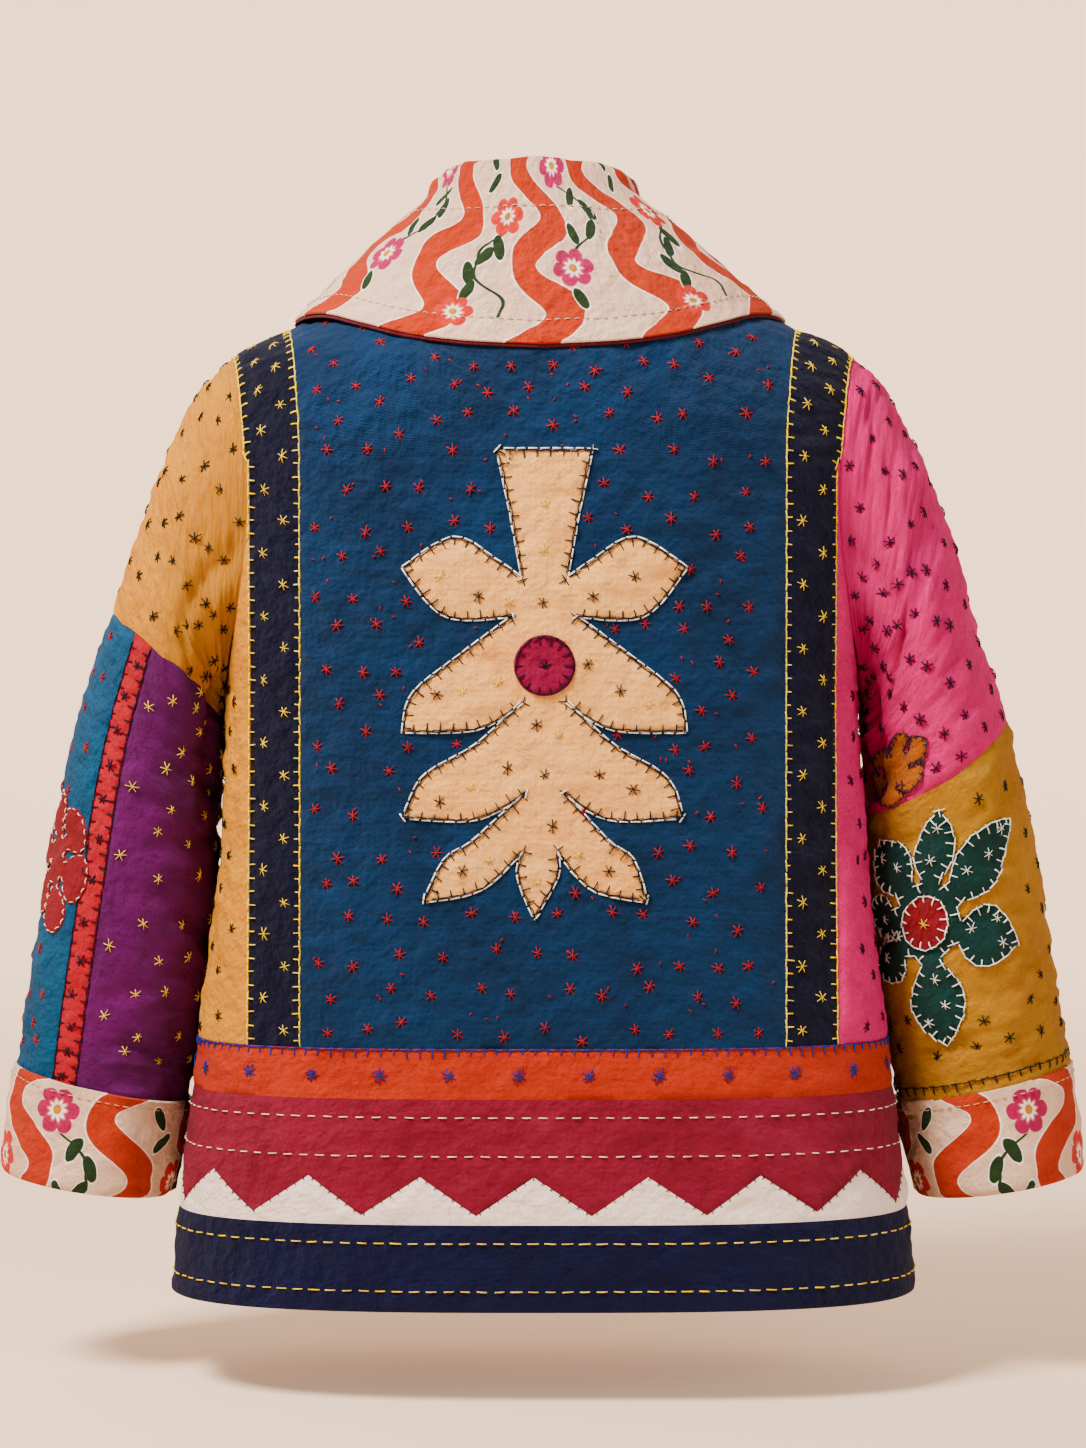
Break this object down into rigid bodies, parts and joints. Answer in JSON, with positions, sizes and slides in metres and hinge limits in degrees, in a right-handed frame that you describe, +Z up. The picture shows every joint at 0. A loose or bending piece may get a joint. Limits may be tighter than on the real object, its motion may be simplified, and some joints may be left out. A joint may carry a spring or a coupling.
{
  "type": "quilted patchwork jacket",
  "caption": "Short quilted patchwork jacket in its worn form, with a wide fold-over collar, turned-up cuffs, banded hem, leaf spray on the back and an open front.",
  "frame": {"origin": "point in the middle between the wearer's shoulders, at the height of the shoulder seams", "axes": "+Z up, -Y towards the viewer of the pictured back, +Y towards the open front, +X towards the wearer's right arm"},
  "size_m": [0.7172, 0.257, 0.7287],
  "materials": {
    "blue_back": "matte quilted cotton",
    "blue_front_left": "matte quilted cotton",
    "blue_front_right": "matte quilted cotton",
    "navy_strip_left": "matte quilted cotton",
    "navy_strip_right": "matte quilted cotton",
    "mustard_side": "matte quilted cotton",
    "pink_side": "matte quilted cotton",
    "orange": "matte quilted cotton",
    "raspberry": "matte quilted cotton",
    "off_white": "matte quilted cotton",
    "navy_hem": "matte quilted cotton",
    "mustard_sleeve": "matte quilted cotton",
    "teal": "matte quilted cotton",
    "coral": "matte quilted cotton",
    "purple_left": "matte quilted cotton",
    "pink_sleeve": "matte quilted cotton",
    "gold": "matte quilted cotton",
    "purple_right": "matte quilted cotton",
    "print_cuff_left": "matte quilted cotton",
    "print_cuff_right": "matte quilted cotton",
    "print_collar": "matte quilted cotton",
    "maroon": "matte quilted cotton",
    "tan": "matte quilted cotton",
    "crimson": "matte quilted cotton",
    "dark_green": "matte quilted cotton",
    "deep_red": "matte quilted cotton",
    "ochre_orange": "matte quilted cotton",
    "dull_red": "matte quilted cotton"
  },
  "bodies": {
    "root": {"back_panel": "blue_back", "front_left": "blue_front_left", "front_right": "blue_front_right", "strip_left": "navy_strip_left", "strip_right": "navy_strip_right", "side_left": "mustard_side", "side_right": "pink_side", "band_orange": "orange", "band_raspberry": "raspberry", "band_white": "off_white", "band_navy": "navy_hem", "sleeve_upper_left": "mustard_sleeve", "gore_teal": "teal", "gore_coral": "coral", "gore_purple_left": "purple_left", "sleeve_upper_right": "pink_sleeve", "gore_gold": "gold", "gore_purple_right": "purple_right", "cuff_left": "print_cuff_left", "cuff_right": "print_cuff_right", "collar": "print_collar", "under_collar": "maroon", "leaf_spray": "tan", "spray_disc": "crimson", "flower_green": "dark_green", "flower_disc": "deep_red", "petal_orange": "ochre_orange", "flower_red": "dull_red"}
  },
  "joints": []
}
